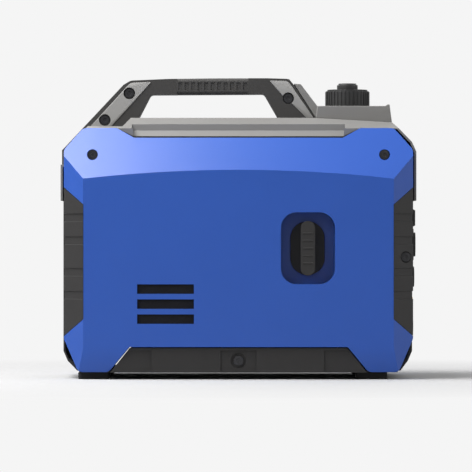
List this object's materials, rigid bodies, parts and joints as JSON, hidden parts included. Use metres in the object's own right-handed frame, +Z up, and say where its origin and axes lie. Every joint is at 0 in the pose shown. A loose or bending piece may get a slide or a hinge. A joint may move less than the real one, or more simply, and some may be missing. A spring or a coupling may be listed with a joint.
{
  "type": "portable generator",
  "caption": "Suitcase-style inverter generator with carrying handle, pull starter, vented fuel cap, service door and outlet panel",
  "frame": {"origin": "middle of the footprint, on the plane that the feet stand on", "axes": "+X runs to the control end, +Y to the service side (the starter faces -Y), +Z is up"},
  "size_m": [0.5, 0.285, 0.423],
  "materials": {
    "blue_cover": "satin moulded polypropylene, blue",
    "grey_cover": "fine-grained grey moulding",
    "handle_grey": "fine-grained light grey moulding",
    "dark_cover": "grained charcoal moulding",
    "black_plastic": "black moulding",
    "black_rubber": "moulded rubber",
    "grip_rubber": "ribbed soft grip",
    "black_screw": "black oxide socket screw",
    "cast_alloy": "sand-grained die casting",
    "machined_steel": "turned steel",
    "heat_steel": "heat-tinted sheet steel",
    "copper": "enamelled copper windings",
    "brass": "plated brass",
    "tank_plastic": "blow-moulded tank",
    "white_cord": "braided cord",
    "nylon": "natural nylon"
  },
  "bodies": {
    "chassis": {"starter_side_cover": "blue_cover", "service_side_cover": "blue_cover", "corner_guard_1": "dark_cover", "corner_guard_2": "dark_cover", "corner_guard_3": "dark_cover", "corner_guard_4": "dark_cover", "top_cover": "grey_cover", "filler_block": "grey_cover", "handle_front_half": "handle_grey", "handle_back_half": "handle_grey", "handle_grip": "grip_rubber", "handle_screws": "black_screw", "cover_screws": "black_screw", "exhaust_end_cover": "dark_cover", "control_end_cover": "dark_cover", "control_panel": "grey_cover", "ac_outlets": "black_plastic", "dc_outlet": "black_plastic", "parallel_sockets": "black_plastic", "ground_terminal": "brass", "base_pan": "dark_cover", "trim_front": "dark_cover", "trim_back": "dark_cover", "rubber_foot_1": "black_rubber", "rubber_foot_2": "black_rubber", "rubber_foot_3": "black_rubber", "rubber_foot_4": "black_rubber", "engine_mounts": "black_rubber", "crankcase": "cast_alloy", "cylinder_head": "cast_alloy", "valve_cover": "cast_alloy", "spark_plug": "machined_steel", "plug_cap": "black_rubber", "muffler": "heat_steel", "exhaust_outlet": "heat_steel", "air_cleaner_box": "black_plastic", "carburettor": "cast_alloy", "fuel_tank": "tank_plastic", "stator": "copper", "fan_shroud": "dark_cover", "recoil_housing": "dark_cover", "recoil_spring": "machined_steel", "rope_guide": "dark_cover", "inverter_module": "cast_alloy", "fuel_hose": "black_rubber"},
    "starter": {"starter_grip": "dark_cover", "starter_rope": "white_cord"},
    "reel": {"recoil_reel": "nylon"},
    "crank": {"crankshaft": "machined_steel", "flywheel": "cast_alloy"},
    "cap_insert": {"cap_core": "black_plastic"},
    "cap_shell": {"fuel_cap": "black_plastic"},
    "vent": {"vent_knob": "black_plastic"},
    "door": {"service_door": "blue_cover"},
    "door_latch": {"door_knob": "dark_cover"},
    "oil_cap": {"oil_filler_cap": "black_plastic"},
    "run_switch": {"run_knob": "black_plastic"},
    "eco_switch": {"eco_rocker": "black_plastic"},
    "ac_reset": {"ac_reset_button": "black_plastic"},
    "dc_reset": {"dc_reset_button": "black_plastic"}
  },
  "joints": [
    {"name": "starter_pull", "type": "slide", "parent": "chassis", "child": "starter", "axis": [0, -1, 0], "range_m": [0, 0.6], "stiffness_N_per_m": 20, "springref_m": -0.5},
    {"name": "reel_spin", "type": "hinge", "parent": "chassis", "child": "reel", "pos_m": [0.0965, 0, 0.13], "axis": [1, 0, 0], "range_deg": [0, 660]},
    {"name": "crank_spin", "type": "hinge", "parent": "chassis", "child": "crank", "pos_m": [0, 0, 0.13], "axis": [1, 0, 0], "continuous": true},
    {"name": "cap_lift", "type": "slide", "parent": "chassis", "child": "cap_insert", "axis": [0, 0, 1], "range_m": [0, 0.07]},
    {"name": "cap_turn", "type": "hinge", "parent": "cap_insert", "child": "cap_shell", "pos_m": [0.155, 0, 0.395], "axis": [0, 0, 1], "range_deg": [0, 180]},
    {"name": "vent_turn", "type": "hinge", "parent": "cap_shell", "child": "vent", "pos_m": [0.155, 0, 0.41], "axis": [0, 0, 1], "range_deg": [0, 90]},
    {"name": "door_open", "type": "hinge", "parent": "chassis", "child": "door", "pos_m": [-0.055, 0.1428, 0.069], "axis": [-1, 0, 0], "range_deg": [0, 70]},
    {"name": "door_latch_turn", "type": "hinge", "parent": "door", "child": "door_latch", "pos_m": [-0.055, 0.14, 0.24], "axis": [0, 1, 0], "range_deg": [0, 90]},
    {"name": "oil_cap_out", "type": "slide", "parent": "chassis", "child": "oil_cap", "axis": [0, 1, 0], "range_m": [0, 0.05]},
    {"name": "run_switch_turn", "type": "hinge", "parent": "chassis", "child": "run_switch", "pos_m": [0.2398, -0.036, 0.225], "axis": [1, 0, 0], "range_deg": [-90, 0]},
    {"name": "eco_rock", "type": "hinge", "parent": "chassis", "child": "eco_switch", "pos_m": [0.2358, 0.002, 0.225], "axis": [0, 1, 0], "range_deg": [-10, 10]},
    {"name": "ac_reset_press", "type": "slide", "parent": "chassis", "child": "ac_reset", "axis": [-1, 0, 0], "range_m": [0, 0.002], "stiffness_N_per_m": 400, "springref_m": -0.002},
    {"name": "dc_reset_press", "type": "slide", "parent": "chassis", "child": "dc_reset", "axis": [-1, 0, 0], "range_m": [0, 0.002], "stiffness_N_per_m": 400, "springref_m": -0.002}
  ],
  "couplings": [
    {"joint": "reel_spin", "follows": "starter_pull", "rad_per_m": 19.102}
  ]
}
